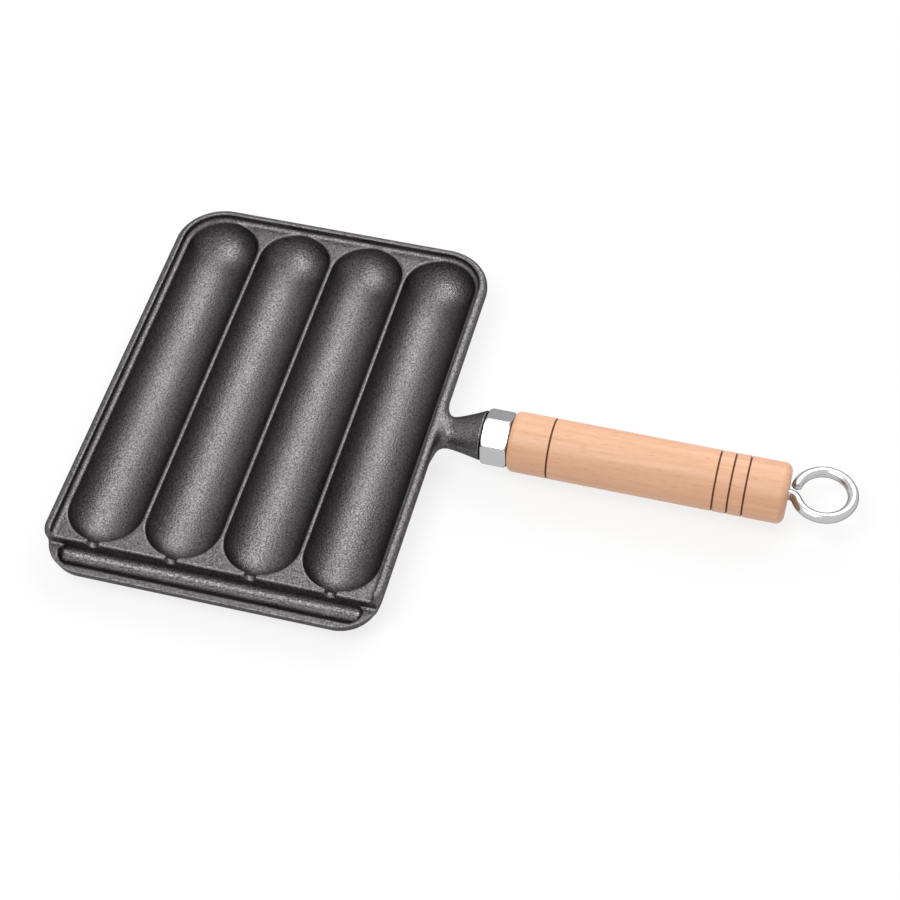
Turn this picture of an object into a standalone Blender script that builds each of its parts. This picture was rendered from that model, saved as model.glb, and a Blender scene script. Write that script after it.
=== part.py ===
"""Sausage grill pan: a cast pan with four troughs and a turned wooden handle.

Metres, +Z up. The pan's width and the handle run along X, the troughs along Y.
The origin is under the middle of the whole pan, on the surface it stands on.
"""

import math

import bmesh
import bpy

# Troughs, at the level of the deck between them
TROUGH_COUNT = 4
TROUGH_WIDTH = 0.0337
TROUGH_LENGTH = 0.1918
TROUGH_DEPTH = 0.015
TROUGH_EDGE = 0.0004
RIDGE_WIDTH = 0.0018
WALL = 0.0035
FOOT_FLAT = 0.0005

# Deck strips round the troughs, and the raised rim on three sides
SIDE_STRIP = 0.00205
FRONT_STRIP = 0.0017
BACK_STRIP = 0.0007
RIM_HEIGHT = 0.005
RIM_THICKNESS = 0.00335
RIM_EDGE = 0.0018
RIM_FOOT = 0.0012
RIM_PAST_DECK = 0.0035
BACK_CORNER = 0.020
FRONT_CORNER = 0.017
SKIRT_DROP = 0.005
SKIRT_DRAFT = 0.001

# Gutter across the front, and the low lip outside it
GUTTER_WIDTH = 0.0124
GUTTER_FLOOR_WIDTH = 0.0072
GUTTER_DEPTH = 0.0095
GUTTER_FILLET = 0.0016
GUTTER_WALL = 0.003
GUTTER_END = 0.0045
GUTTER_LIP_CORNER = 0.006
GUTTER_DECK_CORNER = 0.0015
LIP_WIDTH = 0.0036
DRAIN_WIDTH = 0.0047
DRAIN_SINK = 0.0004

# Cast neck that carries the handle
NECK_LENGTH = 0.020
NECK_ROOT_FILLET = 0.0055
NECK_WAIST_WIDTH = 0.015
NECK_WAIST_HEIGHT = 0.0136
NECK_DROP = 0.0029
NECK_COLLAR = 0.0215
SPIGOT_DIAMETER = 0.014
SPIGOT_LENGTH = 0.008

# Hexagonal ferrule and wooden grip
FERRULE_FLATS = 0.022
FERRULE_LENGTH = 0.012
FERRULE_CHAMFER = 0.0011
HANDLE_RISE = 0.0
GRIP_DIAMETER = 0.027
GRIP_LENGTH = 0.1227
GRIP_FRONT_CHAMFER = 0.002
GRIP_TAIL_ROUND = 0.003
GROOVE_WIDTH = 0.0012
GROOVE_DEPTH = 0.0007
FRONT_GROOVE = 0.0182
TAIL_GROOVE = 0.018
TAIL_GROOVE_PITCH = 0.00655
TAIL_GROOVE_COUNT = 3

# Steel rod that holds the handle on, with the hanging eye at its end
ROD_DIAMETER = 0.0048
ROD_IN_NECK = 0.018
EYE_RADIUS = 0.0124
EYE_OFFSET = 0.0034
SHANK_BEND = 0.004
EYE_JOIN_ANGLE = math.radians(210)
EYE_END_ANGLE = math.radians(172)

# Gap between pieces that touch on the real pan
CLEARANCE = 0.0003

# Facets
ARC_STEPS = 16
SECTION_STEPS = 7
CORNER_STEPS = 8
FILLET_STEPS = 3
ROUND_SIDES = 24
GRIP_SIDES = 40
ROD_SIDES = 12
EYE_STEPS = 30
BEND_STEPS = 5
SHARP_ANGLE = math.radians(35)

# Sizes that follow
TROUGH_RADIUS = TROUGH_WIDTH / 2
TROUGH_PITCH = TROUGH_WIDTH + RIDGE_WIDTH
SECTION_RADIUS = (TROUGH_RADIUS ** 2 + TROUGH_DEPTH ** 2) / (2 * TROUGH_DEPTH)
PAN_WIDTH = (TROUGH_COUNT - 1) * TROUGH_PITCH + TROUGH_WIDTH + 2 * (SIDE_STRIP + RIM_THICKNESS)
PAN_DEPTH = LIP_WIDTH + GUTTER_WIDTH + FRONT_STRIP + TROUGH_LENGTH + BACK_STRIP + RIM_THICKNESS
ROD_RADIUS = ROD_DIAMETER / 2
EYE_CENTRE = EYE_RADIUS + ROD_RADIUS + CLEARANCE
EYE_REACH = EYE_CENTRE + EYE_RADIUS + ROD_RADIUS
OVERALL_LENGTH = PAN_WIDTH + NECK_LENGTH + FERRULE_LENGTH + 2 * CLEARANCE + GRIP_LENGTH + EYE_REACH

# Levels above the surface that the pan stands on
DECK_Z = TROUGH_DEPTH + WALL - FOOT_FLAT
RIM_Z = DECK_Z + RIM_HEIGHT
SKIRT_Z = DECK_Z - SKIRT_DROP
SECTION_Z = DECK_Z - TROUGH_DEPTH + SECTION_RADIUS
HANDLE_Z = DECK_Z + HANDLE_RISE

# Places along X
PAN_X = (PAN_WIDTH - OVERALL_LENGTH) / 2
SIDE_X = PAN_X + PAN_WIDTH / 2
COLLAR_X = SIDE_X + NECK_LENGTH
FERRULE_X = COLLAR_X + CLEARANCE
GRIP_X = FERRULE_X + FERRULE_LENGTH + CLEARANCE
TAIL_X = GRIP_X + GRIP_LENGTH

# Places along Y
FRONT_Y = -PAN_DEPTH / 2
BACK_Y = PAN_DEPTH / 2
DECK_FRONT_Y = FRONT_Y + LIP_WIDTH + GUTTER_WIDTH
NEAR_Y = DECK_FRONT_Y + FRONT_STRIP + TROUGH_RADIUS
FAR_Y = NEAR_Y + TROUGH_LENGTH - TROUGH_WIDTH
INNER_BACK_Y = BACK_Y - RIM_THICKNESS
HANDLE_Y = (DECK_FRONT_Y + INNER_BACK_Y) / 2
STEP_Y = DECK_FRONT_Y - RIM_PAST_DECK


def clear_scene():
    """Remove every object of the open file."""
    for obj in list(bpy.data.objects):
        bpy.data.objects.remove(obj, do_unlink=True)


def make_material(name, colour, roughness, metallic):
    """Return a Principled material."""
    material = bpy.data.materials.new(name)
    material.use_nodes = True
    shader = material.node_tree.nodes["Principled BSDF"]
    shader.inputs["Base Color"].default_value = (*colour, 1.0)
    shader.inputs["Roughness"].default_value = roughness
    shader.inputs["Metallic"].default_value = metallic
    return material


def add_object(name, bm, material=None):
    """Turn a closed bmesh into an object, with its faces pointing out."""
    bmesh.ops.recalc_face_normals(bm, faces=bm.faces)
    mesh = bpy.data.meshes.new(name)
    bm.to_mesh(mesh)
    bm.free()
    if material is not None:
        mesh.materials.append(material)
    mesh.shade_smooth()
    mesh.set_sharp_from_angle(angle=SHARP_ANGLE)
    obj = bpy.data.objects.new(name, mesh)
    bpy.context.scene.collection.objects.link(obj)
    return obj


def loft(name, rings, material=None):
    """Skin a row of rings with the same number of points, and close both ends."""
    bm = bmesh.new()
    rows = [[bm.verts.new(point) for point in ring] for ring in rings]
    for low, high in zip(rows, rows[1:]):
        for i in range(len(low)):
            j = (i + 1) % len(low)
            bm.faces.new((low[i], low[j], high[j], high[i]))
    bm.faces.new(rows[0])
    bm.faces.new(rows[-1])
    return add_object(name, bm, material)


def turn(name, profile, sides, material=None):
    """Turn a closed profile of (x, radius) points round the handle's axis."""
    bm = bmesh.new()
    verts = [bm.verts.new((x, HANDLE_Y, HANDLE_Z + radius)) for x, radius in profile]
    edges = [bm.edges.new((verts[i], verts[i - 1])) for i in range(len(verts))]
    bmesh.ops.spin(
        bm,
        geom=verts + edges,
        cent=(0.0, HANDLE_Y, HANDLE_Z),
        axis=(1.0, 0.0, 0.0),
        angle=2 * math.pi,
        steps=sides,
        use_duplicate=False,
    )
    bmesh.ops.remove_doubles(bm, verts=bm.verts, dist=0.000001)
    return add_object(name, bm, material)


def rod_along_x(name, x0, x1, radius, sides, start=0.0, material=None):
    """Make a straight bar of regular section along the handle's axis."""
    rings = []
    for x in (x0, x1):
        angles = [start + 2 * math.pi * i / sides for i in range(sides)]
        rings.append([(x, HANDLE_Y + radius * math.cos(a), HANDLE_Z + radius * math.sin(a)) for a in angles])
    return loft(name, rings, material)


def combine(target, other, operation):
    """Join or cut the target with another solid, which is then only a guide."""
    modifier = target.modifiers.new(other.name, "BOOLEAN")
    modifier.operation = operation
    modifier.solver = "EXACT"
    modifier.object = other
    other.hide_render = True
    other.display_type = "WIRE"


def rounded_rectangle(x0, x1, y0, y1, front_radius, back_radius, z):
    """Points of a rectangle with round corners, from its front right corner on."""
    corners = (
        (x1 - front_radius, y0 + front_radius, front_radius, -math.pi / 2),
        (x1 - back_radius, y1 - back_radius, back_radius, 0.0),
        (x0 + back_radius, y1 - back_radius, back_radius, math.pi / 2),
        (x0 + front_radius, y0 + front_radius, front_radius, math.pi),
    )
    points = []
    for cx, cy, radius, start in corners:
        for i in range(CORNER_STEPS + 1):
            angle = start + math.pi / 2 * i / CORNER_STEPS
            points.append((cx + radius * math.cos(angle), cy + radius * math.sin(angle), z))
    return points


def pan_outline(inset, z):
    """Points of the pan's outer edge, moved in by a distance."""
    half = PAN_WIDTH / 2 - inset
    return rounded_rectangle(
        PAN_X - half,
        PAN_X + half,
        FRONT_Y + inset,
        BACK_Y - inset,
        FRONT_CORNER - inset,
        BACK_CORNER - inset,
        z,
    )


def make_tray(material):
    """Make the flat body of the pan with its drafted skirt and rounded rim edge."""
    rings = [
        pan_outline(SKIRT_DRAFT, SKIRT_Z),
        pan_outline(0.0, DECK_Z),
        pan_outline(0.0, RIM_Z - RIM_EDGE),
    ]
    for i in range(1, FILLET_STEPS + 1):
        angle = math.pi / 2 * i / FILLET_STEPS
        inset = RIM_EDGE * (1 - math.cos(angle))
        rings.append(pan_outline(inset, RIM_Z - RIM_EDGE + RIM_EDGE * math.sin(angle)))
    return loft("pan_casting", rings, material)


def trough_outline(x, radius, z):
    """Points of a long round-ended slot over one trough."""
    points = []
    for cy, start in ((NEAR_Y, math.pi), (FAR_Y, 0.0)):
        for i in range(ARC_STEPS + 1):
            angle = start + math.pi * i / ARC_STEPS
            points.append((x + radius * math.cos(angle), cy + radius * math.sin(angle), z))
    return points


def trough_x(index):
    """Centre line of one trough, counted from the left."""
    return PAN_X + (index - (TROUGH_COUNT - 1) / 2) * TROUGH_PITCH


def trough_levels(radius, top_z, low_radius):
    """Half-widths and levels down a round section, to where it is low_radius wide."""
    first = math.asin((SECTION_Z - top_z) / radius)
    last = math.acos(low_radius / radius)
    levels = []
    for i in range(SECTION_STEPS + 1):
        angle = first + (last - first) * i / SECTION_STEPS
        levels.append((radius * math.cos(angle), SECTION_Z - radius * math.sin(angle)))
    return levels


def make_belly(index):
    """Make the outside of one trough, ground flat where the pan stands on it."""
    radius = SECTION_RADIUS + WALL
    low_radius = math.sqrt(radius ** 2 - SECTION_Z ** 2)
    top_z = (SKIRT_Z + DECK_Z) / 2
    levels = trough_levels(radius, top_z, low_radius)
    rings = [trough_outline(trough_x(index), r, z) for r, z in levels]
    return loft("belly_%d" % (index + 1), rings)


def make_trough_cutter(index):
    """Make the inside of one trough, with its top edge eased."""
    low_radius = SECTION_RADIUS * math.sin(math.radians(6))
    rings = [
        trough_outline(trough_x(index), TROUGH_RADIUS + TROUGH_EDGE, DECK_Z + RIM_FOOT),
        trough_outline(trough_x(index), TROUGH_RADIUS + TROUGH_EDGE, DECK_Z),
    ]
    levels = trough_levels(SECTION_RADIUS, DECK_Z - TROUGH_EDGE, low_radius)
    rings += [trough_outline(trough_x(index), r, z) for r, z in levels]
    return loft("trough_cutter_%d" % (index + 1), rings)


def gutter_ring(grow, depth, inset):
    """Points of the gutter at a depth: grown by its wall, or drawn in at its floor."""
    slope = (GUTTER_WIDTH - GUTTER_FLOOR_WIDTH) / GUTTER_DEPTH
    lean = slope * min(depth, GUTTER_DEPTH)
    half = PAN_WIDTH / 2 - GUTTER_END - lean / 2 + grow - inset
    return rounded_rectangle(
        PAN_X - half,
        PAN_X + half,
        DECK_FRONT_Y - GUTTER_WIDTH + lean - grow + inset,
        DECK_FRONT_Y + grow - inset,
        max(GUTTER_LIP_CORNER - lean, GUTTER_FILLET) + grow - inset / 2,
        GUTTER_DECK_CORNER + grow - inset / 2,
        DECK_Z - depth,
    )


def gutter_rings(grow, top_depth):
    """Rings down the gutter, round at the foot of its walls."""
    floor = GUTTER_DEPTH + grow
    fillet = GUTTER_FILLET + grow
    rings = [gutter_ring(grow, top_depth, 0.0)]
    for i in range(FILLET_STEPS + 1):
        angle = math.pi / 2 * i / FILLET_STEPS
        depth = floor - fillet + fillet * math.sin(angle)
        rings.append(gutter_ring(grow, depth, fillet * (1 - math.cos(angle))))
    return rings


def make_cavity_cutter():
    """Make the space inside the rim, down to the deck, with a fillet at its foot."""
    rings = []
    for i in range(FILLET_STEPS + 1):
        angle = math.pi / 2 * i / FILLET_STEPS
        inset = RIM_THICKNESS + RIM_FOOT * (1 - math.sin(angle))
        z = DECK_Z + RIM_FOOT * (1 - math.cos(angle))
        rings.append((inset, z))
    rings.append((RIM_THICKNESS, RIM_Z + RIM_HEIGHT))
    outlines = []
    for inset, z in rings:
        half = PAN_WIDTH / 2 - inset
        outlines.append(
            rounded_rectangle(
                PAN_X - half,
                PAN_X + half,
                FRONT_Y - RIM_HEIGHT,
                BACK_Y - inset,
                RIM_EDGE,
                BACK_CORNER - inset,
                z,
            )
        )
    return loft("cavity_cutter", outlines)


def make_front_cutter():
    """Make the block that lowers the rim's ends and the lip to the deck's level."""
    half = PAN_WIDTH / 2 + RIM_HEIGHT
    rings = []
    for z in (DECK_Z, RIM_Z + RIM_HEIGHT):
        rings.append(
            [
                (PAN_X - half, FRONT_Y - 2 * RIM_HEIGHT, z),
                (PAN_X + half, FRONT_Y - 2 * RIM_HEIGHT, z),
                (PAN_X + half, STEP_Y, z),
                (PAN_X - half, STEP_Y, z),
            ]
        )
    return loft("front_cutter", rings)


def make_drain_cutter(index):
    """Make the half-round drain from the end of one trough to the gutter."""
    rings = []
    for y in (DECK_FRONT_Y - GUTTER_WIDTH / 4, NEAR_Y - TROUGH_RADIUS / 2):
        ring = []
        for i in range(ROUND_SIDES):
            angle = 2 * math.pi * i / ROUND_SIDES
            x = trough_x(index) + DRAIN_WIDTH / 2 * math.cos(angle)
            ring.append((x, y, DECK_Z - DRAIN_SINK + DRAIN_WIDTH / 2 * math.sin(angle)))
        rings.append(ring)
    return loft("drain_cutter_%d" % (index + 1), rings)


def neck_ring(x, half_width, half_height, z):
    """Points of the neck's oval section at one place along X."""
    ring = []
    for i in range(ROUND_SIDES):
        angle = 2 * math.pi * i / ROUND_SIDES
        ring.append((x, HANDLE_Y + half_width * math.cos(angle), z + half_height * math.sin(angle)))
    return ring


def make_neck():
    """Make the neck: a filleted root, a low waist, a round collar and the spigot."""
    waist_width = NECK_WAIST_WIDTH / 2
    waist_height = NECK_WAIST_HEIGHT / 2
    waist_z = HANDLE_Z - NECK_DROP
    collar = NECK_COLLAR / 2
    root_x = SIDE_X - RIM_THICKNESS - SIDE_STRIP - WALL
    rings = [neck_ring(root_x, waist_width + NECK_ROOT_FILLET, waist_height, waist_z)]
    for i in range(FILLET_STEPS + 2):
        angle = math.pi / 2 * i / (FILLET_STEPS + 1)
        spread = NECK_ROOT_FILLET * (1 - math.sin(angle))
        x = SIDE_X - SKIRT_DRAFT + NECK_ROOT_FILLET * (1 - math.cos(angle))
        rings.append(neck_ring(x, waist_width + spread, waist_height, waist_z))
    waist_x = SIDE_X - SKIRT_DRAFT + NECK_ROOT_FILLET
    flare_steps = 2 * FILLET_STEPS
    for i in range(1, flare_steps + 1):
        part = i / flare_steps
        ease = (1 - math.cos(math.pi * part)) / 2
        rings.append(
            neck_ring(
                waist_x + (COLLAR_X - waist_x) * part,
                waist_width + (collar - waist_width) * ease,
                waist_height + (collar - waist_height) * ease,
                waist_z + (HANDLE_Z - waist_z) * ease,
            )
        )
    spigot = SPIGOT_DIAMETER / 2
    rings.append(neck_ring(COLLAR_X, spigot, spigot, HANDLE_Z))
    rings.append(neck_ring(COLLAR_X + SPIGOT_LENGTH, spigot, spigot, HANDLE_Z))
    return loft("neck", rings)


def make_pan_casting(material):
    """Make the one-piece casting: tray, bellies, gutter, neck and all its hollows."""
    casting = make_tray(material)
    for index in range(TROUGH_COUNT):
        combine(casting, make_belly(index), "UNION")
    gutter_top = SKIRT_DROP / 2
    combine(casting, loft("gutter_belly", gutter_rings(GUTTER_WALL, gutter_top)), "UNION")
    combine(casting, make_neck(), "UNION")
    combine(casting, make_cavity_cutter(), "DIFFERENCE")
    combine(casting, make_front_cutter(), "DIFFERENCE")
    for index in range(TROUGH_COUNT):
        combine(casting, make_trough_cutter(index), "DIFFERENCE")
    combine(casting, loft("gutter_cutter", gutter_rings(0.0, -RIM_HEIGHT)), "DIFFERENCE")
    for index in range(TROUGH_COUNT):
        combine(casting, make_drain_cutter(index), "DIFFERENCE")
    rod_end = COLLAR_X - ROD_IN_NECK
    bore_end = COLLAR_X + SPIGOT_LENGTH + CLEARANCE
    bore = rod_along_x("rod_bore", rod_end - CLEARANCE, bore_end, ROD_RADIUS + CLEARANCE, ROD_SIDES)
    combine(casting, bore, "DIFFERENCE")
    return casting


def make_ferrule(material):
    """Make the hexagonal sleeve, chamfered at both ends like a nut."""
    corner = FERRULE_FLATS / 2 / math.cos(math.pi / 6)
    end_x = FERRULE_X + FERRULE_LENGTH
    ferrule = rod_along_x("ferrule", FERRULE_X, end_x, corner, 6, math.pi / 2, material)
    chamfer_radius = corner - FERRULE_CHAMFER
    profile = [
        (FERRULE_X, SPIGOT_DIAMETER / 2 + CLEARANCE),
        (end_x, SPIGOT_DIAMETER / 2 + CLEARANCE),
        (end_x, chamfer_radius),
        (end_x - FERRULE_CHAMFER, corner),
        (FERRULE_X + FERRULE_CHAMFER, corner),
        (FERRULE_X, chamfer_radius),
    ]
    combine(ferrule, turn("ferrule_blank", profile, GRIP_SIDES), "INTERSECT")
    return ferrule


def grip_groove(x):
    """Profile points of one turned groove."""
    radius = GRIP_DIAMETER / 2
    return [
        (x - GROOVE_WIDTH / 2, radius),
        (x, radius - GROOVE_DEPTH),
        (x + GROOVE_WIDTH / 2, radius),
    ]


def make_wooden_grip(material):
    """Turn the grip: a tenon in the ferrule, a chamfer, four grooves, a round tail."""
    radius = GRIP_DIAMETER / 2
    tenon_radius = SPIGOT_DIAMETER / 2
    tenon_x = COLLAR_X + SPIGOT_LENGTH + CLEARANCE
    bore_radius = ROD_RADIUS + CLEARANCE
    profile = [
        (tenon_x, bore_radius),
        (tenon_x, tenon_radius),
        (GRIP_X, tenon_radius),
        (GRIP_X, radius - GRIP_FRONT_CHAMFER),
        (GRIP_X + GRIP_FRONT_CHAMFER, radius),
    ]
    profile += grip_groove(GRIP_X + FRONT_GROOVE)
    for i in reversed(range(TAIL_GROOVE_COUNT)):
        profile += grip_groove(TAIL_X - TAIL_GROOVE - i * TAIL_GROOVE_PITCH)
    for i in range(FILLET_STEPS + 2):
        angle = math.pi / 2 * i / (FILLET_STEPS + 1)
        x = TAIL_X - GRIP_TAIL_ROUND * (1 - math.sin(angle))
        profile.append((x, radius - GRIP_TAIL_ROUND * (1 - math.cos(angle))))
    profile.append((TAIL_X, bore_radius))
    return turn("wooden_grip", profile, GRIP_SIDES, material)


def eye_path():
    """Centre line of the rod in plan, with its direction at each point."""
    centre_x = TAIL_X + EYE_CENTRE
    centre_y = HANDLE_Y + EYE_OFFSET
    bend_turn = 3 * math.pi / 2 - EYE_JOIN_ANGLE
    join_x = centre_x + EYE_RADIUS * math.cos(EYE_JOIN_ANGLE)
    join_drop = HANDLE_Y - (centre_y + EYE_RADIUS * math.sin(EYE_JOIN_ANGLE))
    straight = (join_drop - SHANK_BEND * (1 - math.cos(bend_turn))) / math.sin(bend_turn)
    bend_x = join_x - SHANK_BEND * math.sin(bend_turn) - straight * math.cos(bend_turn)
    path = [(COLLAR_X - ROD_IN_NECK, HANDLE_Y, 0.0)]
    for i in range(BEND_STEPS + 1):
        angle = bend_turn * i / BEND_STEPS
        x = bend_x + SHANK_BEND * math.sin(angle)
        path.append((x, HANDLE_Y - SHANK_BEND * (1 - math.cos(angle)), -angle))
    sweep = 2 * math.pi + EYE_END_ANGLE - EYE_JOIN_ANGLE
    for i in range(EYE_STEPS + 1):
        angle = EYE_JOIN_ANGLE + sweep * i / EYE_STEPS
        x = centre_x + EYE_RADIUS * math.cos(angle)
        path.append((x, centre_y + EYE_RADIUS * math.sin(angle), angle + math.pi / 2))
    return path


def make_eye_rod(material):
    """Sweep the rod's round section along its path."""
    rings = []
    for x, y, heading in eye_path():
        ring = []
        for i in range(ROD_SIDES):
            angle = 2 * math.pi * i / ROD_SIDES
            side = ROD_RADIUS * math.cos(angle)
            ring.append(
                (
                    x - side * math.sin(heading),
                    y + side * math.cos(heading),
                    HANDLE_Z + ROD_RADIUS * math.sin(angle),
                )
            )
        rings.append(ring)
    return loft("eye_rod", rings, material)


clear_scene()
make_pan_casting(make_material("cast_iron", (0.10, 0.098, 0.099), 0.55, 0.6))
make_ferrule(make_material("chrome", (0.80, 0.80, 0.81), 0.12, 1.0))
make_wooden_grip(make_material("beech", (0.76, 0.47, 0.28), 0.5, 0.0))
make_eye_rod(make_material("bright_steel", (0.78, 0.78, 0.79), 0.15, 1.0))
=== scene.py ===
"""Looks of the sausage grill pan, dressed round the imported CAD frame. Metres, +Z up."""

import math

import bmesh
import bpy
import numpy as np
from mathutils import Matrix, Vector


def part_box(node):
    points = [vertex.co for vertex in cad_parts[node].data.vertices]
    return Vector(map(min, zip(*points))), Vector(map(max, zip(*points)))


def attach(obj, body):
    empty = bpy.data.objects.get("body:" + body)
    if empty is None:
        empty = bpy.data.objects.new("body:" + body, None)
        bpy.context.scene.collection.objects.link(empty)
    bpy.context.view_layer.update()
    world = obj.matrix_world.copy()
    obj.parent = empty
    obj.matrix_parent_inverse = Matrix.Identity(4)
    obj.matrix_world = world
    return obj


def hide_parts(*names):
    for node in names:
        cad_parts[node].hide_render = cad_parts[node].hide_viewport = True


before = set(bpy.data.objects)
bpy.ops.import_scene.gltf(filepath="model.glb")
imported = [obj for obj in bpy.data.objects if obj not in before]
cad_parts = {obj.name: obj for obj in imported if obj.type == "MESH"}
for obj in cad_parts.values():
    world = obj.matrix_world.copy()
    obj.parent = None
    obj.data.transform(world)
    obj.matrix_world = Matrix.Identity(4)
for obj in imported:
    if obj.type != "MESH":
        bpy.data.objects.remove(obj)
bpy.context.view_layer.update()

# Where the CAD casting has its troughs and its handle side
CAD_FRONT_TO_TROUGHS = 0.0177
CAD_NECK_LENGTH = 0.020

# Troughs, and the strips of deck round them
TROUGH_COUNT = 4
TROUGH_WIDTH = 0.0337
TROUGH_DEPTH = 0.015
TROUGH_LENGTH = 0.1918
TROUGH_EDGE = 0.0007
RIDGE_WIDTH = 0.0018
SIDE_STRIP = 0.00205
FRONT_STRIP = 0.0021
BACK_STRIP = 0.00135
WALL = 0.0035

# Deck, rim and outer wall; the slope is how far the wall leans in per metre of depth
DECK_THICKNESS = 0.004
DECK_EDGE = 0.0011
RIM_HEIGHT = 0.0041
RIM_THICKNESS = 0.00375
RIM_EDGE = 0.003
RIM_INNER_EDGE = 0.0006
RIM_FOOT = 0.0021
BACK_CORNER = 0.0225
FRONT_CORNER = 0.0192
SIDE_SLOPE = 0.3
SKIRT_DROP = 0.010
SKIRT_WALL = 0.0034
SKIRT_DRAFT = 0.001
SKIRT_EDGE = 0.0008

# Front shelf with its gutter and lip; the fall is how much the floor drops to the lip
SHELF_DROP = 0.0045
SHELF_FOOT = 0.001
GUTTER_WIDTH = 0.0099
GUTTER_FLOOR_WIDTH = 0.0061
GUTTER_DEPTH = 0.0041
GUTTER_FALL = 0.14
GUTTER_FILLET = 0.0012
GUTTER_STEP_FILLET = 0.0028
GUTTER_WALL = 0.003
GUTTER_END = 0.0076
GUTTER_END_LEAN = 0.0014
GUTTER_LIP_CORNER = 0.0060
GUTTER_EDGE = 0.0006
LIP_WIDTH = 0.003
LIP_ROUND = 0.0005

# Notches that drain the troughs into the gutter
DRAIN_WIDTH = 0.0047
DRAIN_SINK = 0.0004
DRAIN_EDGE = 0.0006

# Neck and spigot; the flare is the power by which the neck widens to the collar
NECK_ROOT_FILLET = 0.0055
NECK_JOIN = 0.0034
NECK_WAIST_WIDTH = 0.015
NECK_WAIST_HEIGHT = 0.0136
NECK_DROP = 0.0029
NECK_FLARE = 1.2
NECK_COLLAR = 0.0228
COLLAR_EDGE = 0.0009
SPIGOT_RADIUS = 0.007
SPIGOT_LENGTH = 0.008
SPIGOT_ROOT = SPIGOT_RADIUS / 4

# Gap from piece to piece, and how far the rod stays inside its CAD size
CLEARANCE = 0.0003
MARGIN = 0.00002

# Ferrule; the cone is the slope of its end chamfers, length per radius
FERRULE_EASE = 0.0004
FERRULE_CHAMFER = 0.0011
FERRULE_CONE = 0.9
HEXAGON_SIDE_ANGLES = (math.pi / 3, 2 * math.pi / 3)

# Grip; the chamfer's height is a share of its length
GRIP_FRONT_CHAMFER = 0.0027
GRIP_CHAMFER_HEIGHT = 0.8
GRIP_TAIL_ROUND = 0.0036
GRIP_BORE_MOUTH = 0.0005
GROOVE_WIDTH = 0.0008
GROOVE_DEPTH = 0.0007
GROOVE_POWER = 1.5
FRONT_GROOVE = 0.0182
TAIL_GROOVE = 0.018
TAIL_GROOVE_PITCH = 0.00655
TAIL_GROOVE_COUNT = 3

# Rod and eye
ROD_RADIUS = 0.0024
ROD_END_EASE = 0.0005
SHANK_BEND = 0.004
EYE_RADIUS = 0.0124
EYE_OFFSET = 0.0034
EYE_JOIN_ANGLE = math.radians(210)
EYE_END_ANGLE = math.radians(172)

# Spacings of the grids, and how far the casting's finer zones reach
FINE = 0.0005
EVEN = 0.0009
WIDE = 0.0014
COARSE = 0.006
NECK_SPACING = 0.0018
FERRULE_SPACING = 0.0003
SIDE_ZONE = 0.0075
RIDGE_ZONE = 0.0035
FRONT_ZONE = 0.005
BACK_ZONE = 0.010
NECK_ZONE = 0.020

# How a mesh's points are moved to the surface
SURFACE_PASSES = 4
SLOPE_STEP = 0.00002
LEAST_SLOPE_SQUARED = 0.25
LONGEST_MOVE = 0.0003

# Steps and sides of the turned and swept meshes
GRIP_SIDES = 128
GRIP_STEP = 0.004
CHAMFER_STEPS = 6
TAIL_STEPS = 12
GROOVE_STEPS = 6
GRIP_SHARP_ANGLE = math.radians(38)
ROD_SIDES = 32
BEND_STEPS = 14
EYE_STEPS = 120
ROD_SHARP_ANGLE = math.radians(50)

# Places, from the boxes of the CAD nodes
CAST_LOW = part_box("pan_casting")[0]
FERRULE_LOW, FERRULE_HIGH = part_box("ferrule")
GRIP_LOW, GRIP_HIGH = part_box("wooden_grip")
ROD_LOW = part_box("eye_rod")[0]
TROUGH_RADIUS = TROUGH_WIDTH / 2
TROUGH_PITCH = TROUGH_WIDTH + RIDGE_WIDTH
SECTION_RADIUS = (TROUGH_RADIUS ** 2 + TROUGH_DEPTH ** 2) / (2 * TROUGH_DEPTH)
COLLAR_X = FERRULE_LOW.x - CLEARANCE
PAN_X = (CAST_LOW.x + COLLAR_X - CAD_NECK_LENGTH) / 2
HALF_WIDTH = (
    (TROUGH_COUNT - 1) / 2 * TROUGH_PITCH + TROUGH_RADIUS + SIDE_STRIP + RIM_THICKNESS
)
LEFT_X = PAN_X - HALF_WIDTH
SIDE_X = PAN_X + HALF_WIDTH
NEAR_Y = CAST_LOW.y + CAD_FRONT_TO_TROUGHS + TROUGH_RADIUS
FAR_Y = NEAR_Y + TROUGH_LENGTH - TROUGH_WIDTH
DECK_FRONT_Y = NEAR_Y - TROUGH_RADIUS - FRONT_STRIP
FRONT_Y = DECK_FRONT_Y - GUTTER_WIDTH - LIP_WIDTH
BACK_Y = FAR_Y + TROUGH_RADIUS + BACK_STRIP + RIM_THICKNESS
HANDLE_Y = (FERRULE_LOW.y + FERRULE_HIGH.y) / 2
HANDLE_Z = (GRIP_LOW.z + GRIP_HIGH.z) / 2
DECK_Z = HANDLE_Z
RIM_Z = DECK_Z + RIM_HEIGHT
SHELF_Z = DECK_Z - SHELF_DROP
UNDER_Z = DECK_Z - DECK_THICKNESS
SKIRT_Z = DECK_Z - SKIRT_DROP
SECTION_Z = DECK_Z - TROUGH_DEPTH + SECTION_RADIUS

# Noises: scale, detail, roughness and distortion
IRON_GRAIN = (1300.0, 2.0, 0.7, 0.0)
IRON_CLOUD = (45.0, 4.0, 0.6, 0.0)
BEECH_BANDS = (260.0, 4.0, 0.6, 0.4)
BEECH_FLECKS = (1700.0, 2.0, 0.5, 0.0)
METAL_WAVE = (120.0, 2.0, 0.5, 0.0)

# Bumps: strength, and height in metres
IRON_BUMP = (0.5, 0.0006)
BEECH_BUMP = (0.15, 0.0001)
METAL_BUMP = (0.05, 0.0005)

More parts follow.
